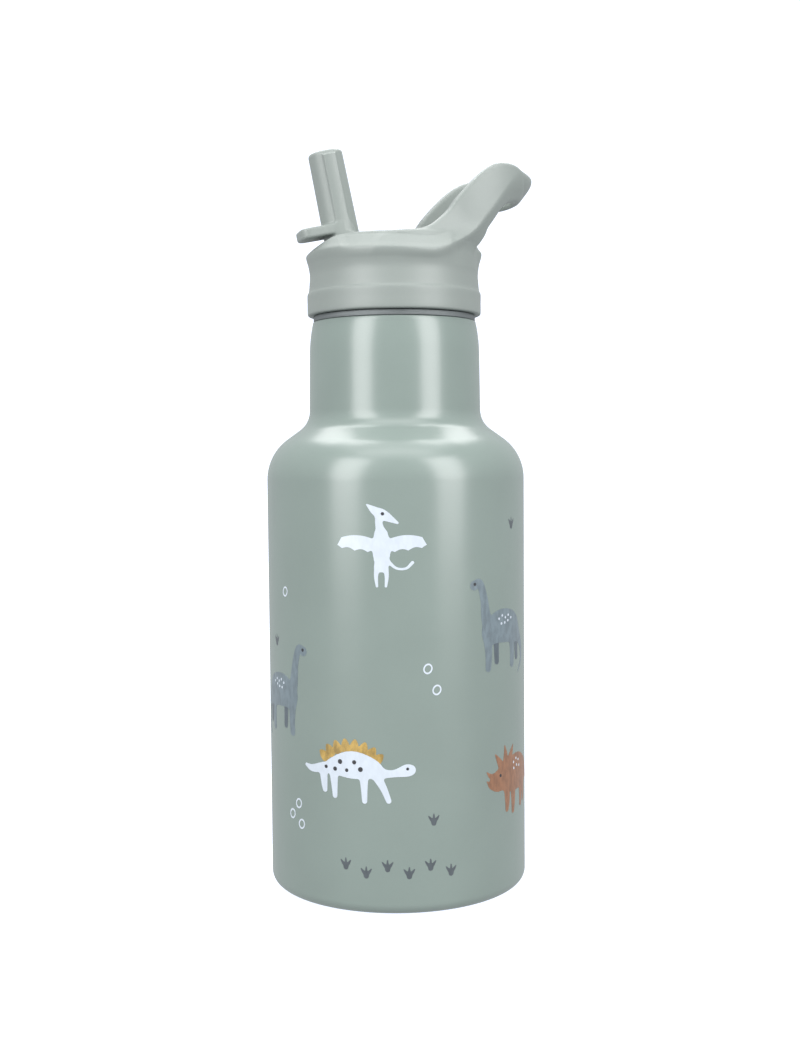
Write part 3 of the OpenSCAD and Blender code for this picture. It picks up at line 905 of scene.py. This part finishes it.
def bubble(u, v):
    """A hand-drawn ring, a little uneven."""
    angle = np.arctan2(v, u)
    r = 0.95 + 0.07 * np.sin(2 * angle + 0.7)
    return np.abs(np.hypot(u, v * 0.82) - r) - 0.17


def footprint(u, v):
    """Three-toed print."""
    toes = [stroke(u, v, [(0, -0.7, 0.42), (a * 0.6, 0.3, 0.34), (a, b, 0.14)])
            for a, b in ((-1.3, 1.0), (0, 1.5), (1.3, 1.0))]
    return joined([disc(u, v, 0, -0.8, 0.62), *toes], 0.3)


def dress_flask():
    """All the printed figures, with places in degrees round from the view's middle and heights in mm."""
    white = ink("ink_white", (0.60, 0.66, 0.73), 0.03)
    ochre = ink("ink_ochre", (0.40, 0.26, 0.06), 0.30, 1.6)
    slate = ink("ink_slate", (0.155, 0.20, 0.225), 0.13)
    deep_slate = ink("ink_deep_slate", (0.085, 0.11, 0.13), 0.10)
    rust = ink("ink_rust", (0.26, 0.12, 0.06), 0.16)
    black = ink("ink_black", (0.015, 0.016, 0.02), 0.10)
    grey = ink("ink_grey", (0.07, 0.085, 0.095), 0.10)
    # each figure's films: end of the name, field, size, ink, lift
    flyer_films = (
        ("", flyer, (13.5, 12.5), white, INK_LIFT),
        ("_eye", flyer_eye, (2, 10), black, SPOT_LIFT),
    )
    plated_films = (
        ("_plates", plated_back, (14, 11), ochre, INK_LIFT),
        ("", plated, (17, 9), white, INK_LIFT),
        ("_spots", plated_spots, (15, 5), black, SPOT_LIFT),
    )
    long_neck_films = (
        ("", long_neck, (14, 15), slate, INK_LIFT),
        ("_legs", long_neck_legs, (10, 12), deep_slate, INK_LIFT),
        ("_dots", long_neck_dots, (6, 4), white, SPOT_LIFT),
        ("_eye", long_neck_eye, (12, 12), black, SPOT_LIFT),
    )
    horned_films = (
        ("", horned, (16, 11), rust, INK_LIFT),
        ("_dots", horned_dots, (6, 5), white, SPOT_LIFT),
        ("_eye", horned_eye, (7, 3), black, SPOT_LIFT),
    )
    figures = (
        ("flyer", flyer_films, -6, 91, False),
        ("plated", plated_films, -17.6, 35.8, False),
        ("long_neck", long_neck_films, 52, 71, False),
        ("long_neck_low", long_neck_films, -61, 54.5, True),
        ("horned", horned_films, 59, 31, False),
    )
    # the set is printed twice, the second time on the far side and a little lower
    for n, (turn, drop) in enumerate(((0, 0), (178, 3))):
        for figure, films, at, z, flip in figures:
            for end, field, size, colour, lift in films:
                film(f"print_{figure}{end}_{n + 1}", field, size, at + turn, z - drop, colour, lift,
                     flip=flip)
    bubbles = ((-56, 79), (12.9, 61.2), (16.7, 55.9), (-47.5, 25.6), (-52, 22.5), (-45.7, 20.5),
               (118, 82), (121, 58), (126, 54), (205, 62), (209, 57), (262, 88), (150, 22), (155, 26))
    for n, (at, z) in enumerate(bubbles):
        film(f"print_bubble_{n + 1}", bubble, (1.5, 1.6), at, z, white, cell=0.1)
    prints = ((59.5, 95.8), (-65, 66), (15, 23.7), (100, 44), (228, 96), (244, 30), (187, 25))
    row = [(-22.5 + 9 * k, 11.6 + 0.9 * (-1)**k) for k in range(6)]
    for n, (at, z) in enumerate([*prints, *row]):
        film(f"print_foot_{n + 1}", footprint, (2, 2.2), at, z, grey, 0.02, cell=0.12)


# ---------------------------------------------------------------- assembly
def dress(piece, material, body, slot, *nodes):
    """A detailed piece that takes the place of CAD nodes."""
    piece.data.materials.append(material)
    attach(piece, body)
    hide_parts(*nodes)


def finish_node(name, material):
    """A new material on a CAD node that stays as it is."""
    node = frame["nodes"][name]
    node.data.materials.clear()
    node.data.materials.append(material)


def build():
    # the band's steel is much darker than the liner steel: partly a duller finish, partly painted shade
    # from the lid's overhang; the base plate shares this colour
    steel = turned_steel("bare_steel_with_painted_shade", (0.22, 0.238, 0.24), 0.55, 0.62)
    liner_steel = turned_steel("liner_steel", (0.62, 0.63, 0.64), 0.16, 0.24)
    white_rubber = silicone("white_silicone", (0.72, 0.72, 0.69))
    dress(flask_wall(), powder_coat(), "bottle", "paint", "outer_shell")
    dress(mouth_band(), steel, "bottle", "steel_brushed", "mouth_ring")
    dress(base_plate(), steel, "bottle", "steel_brushed", "base_disc")
    dress(lid(), satin_plastic("lid_plastic", LID_COLOUR), "lid", "lid_plastic", "lid_cap")
    dress(spout(), satin_plastic("spout_plastic", LID_COLOUR), "spout", "spout_plastic", "spout")
    for name in ("base_pan", "inner_liner", "liner_bottom"):
        finish_node(name, liner_steel)
    finish_node("port_seal", soft_metal("port_solder", (0.35, 0.35, 0.33), 0.4, 0.45, 0.6, 0.02))
    finish_node("getter", soft_metal("getter_alloy", (0.13, 0.13, 0.14), 0.3, 0.6, 0.75, 0.02))
    finish_node("foil_wrap", soft_metal("copper_foil", (0.72, 0.38, 0.24), 3.0, 0.18, 0.26, 0.05))
    for name in ("mouth_gasket", "spout_seat", "vent_valve"):
        finish_node(name, white_rubber)
    finish_node("core_oring", silicone("dark_rubber", (0.035, 0.036, 0.036)))
    finish_node("lid_core", satin_plastic("core_plastic", (0.74, 0.76, 0.75)))
    finish_node("straw", clear_plastic())
    dress_flask()


# ---------------------------------------------------------------- stage, camera and light
def stage():
    """Round floor that curves up into a wall."""
    flat, rise, wall = 1500, 700, 2300
    profile = [(0.5, 0), (flat * 0.25, 0)] + arc(flat, rise, rise, 270, 360, 20) + [(flat + rise, wall)]
    segments, n = 96, len(profile)
    faces = [[i * n + j, (i + 1) % segments * n + j, (i + 1) % segments * n + j + 1, i * n + j + 1]
             for i in range(segments) for j in range(n - 1)]
    middle = [i * n for i in range(segments)][::-1]
    sweep = make_object("floor", turned(profile, segments), faces + [middle])
    sweep.data.materials.append(stage_white())
    # the bottle takes its reflections and fill from the lights and the world instead
    sweep.visible_glossy = sweep.visible_diffuse = False


def camera():
    """Level with the shoulder, 0.36 m away, looking slightly down. Lengths in metres, angles in radians."""
    distance, height, side = 0.3616, 0.11429, 0.001056
    pitch, roll = 0.0588, 0.0083
    data = bpy.data.cameras.new("camera")
    data.sensor_fit = "VERTICAL"
    data.sensor_height = 36
    data.lens = 45.99
    data.clip_start = 0.01
    view = bpy.data.objects.new("camera", data)
    bpy.context.scene.collection.objects.link(view)
    turn = Matrix.Rotation(math.radians(VIEW_TURN), 4, "Z")
    tilt = Matrix.Rotation(math.pi / 2 - pitch, 4, "X")
    view.matrix_world = (turn @ Matrix.Translation((side, -distance, height)) @ tilt
                         @ Matrix.Rotation(-roll, 4, "Z"))
    bpy.context.scene.camera = view


def panel(name, place, aim, width, length, radiance):
    """A rectangular light. place and aim are in metres: x to the camera's right, y away from it, z up."""
    data = bpy.data.lights.new(name, "AREA")
    data.shape = "RECTANGLE"
    data.size, data.size_y = width, length
    data.energy = radiance * math.pi * width * length
    light = bpy.data.objects.new(name, data)
    bpy.context.scene.collection.objects.link(light)
    facing = (Vector(place) - Vector(aim)).to_track_quat("Z", "Y").to_matrix().to_4x4()
    turn = Matrix.Rotation(math.radians(VIEW_TURN), 4, "Z")
    light.matrix_world = turn @ Matrix.Translation(place) @ facing
    light.visible_camera = False


def lights():
    """Two boxes in front, two pairs of panels above and behind for the shoulder, and a weak fill."""
    box_away, top_z = 0.93, 1.02
    for side, degrees in ((-1, 43.5), (1, 48.5)):
        a = math.radians(degrees) * side
        panel(f"side_box_{side + 2}", (box_away * math.sin(a), -box_away * math.cos(a), 0.47),
              (0, 0, 0.1), 0.48, 0.94, 4.85)
        for name, x, y, width, length in (("inner", 0.27 * side, 0.62, 0.28, 1.20),
                                          ("outer", 0.51 * side, 0.60, 0.20, 0.70)):
            panel(f"top_{name}_{side + 2}", (x, y, top_z), (x, y, 0), width, length, 3.5)
    panel("ceiling", (0, 0, 1.5), (0, 0, 0), 1.6, 1.6, 1.0)
    panel("front_top", (0, -0.45, 0.95), (0, 0, 0.15), 0.9, 0.4, 1.0)
    world = bpy.data.worlds.new("studio")
    bpy.context.scene.world = world
    world.use_nodes = True
    background = world.node_tree.nodes["Background"]
    background.inputs["Color"].default_value = (0.96, 0.985, 1.03, 1)
    background.inputs["Strength"].default_value = 0.6
    bpy.context.scene.view_settings.view_transform = "Standard"


camera()
stage()
lights()
build()
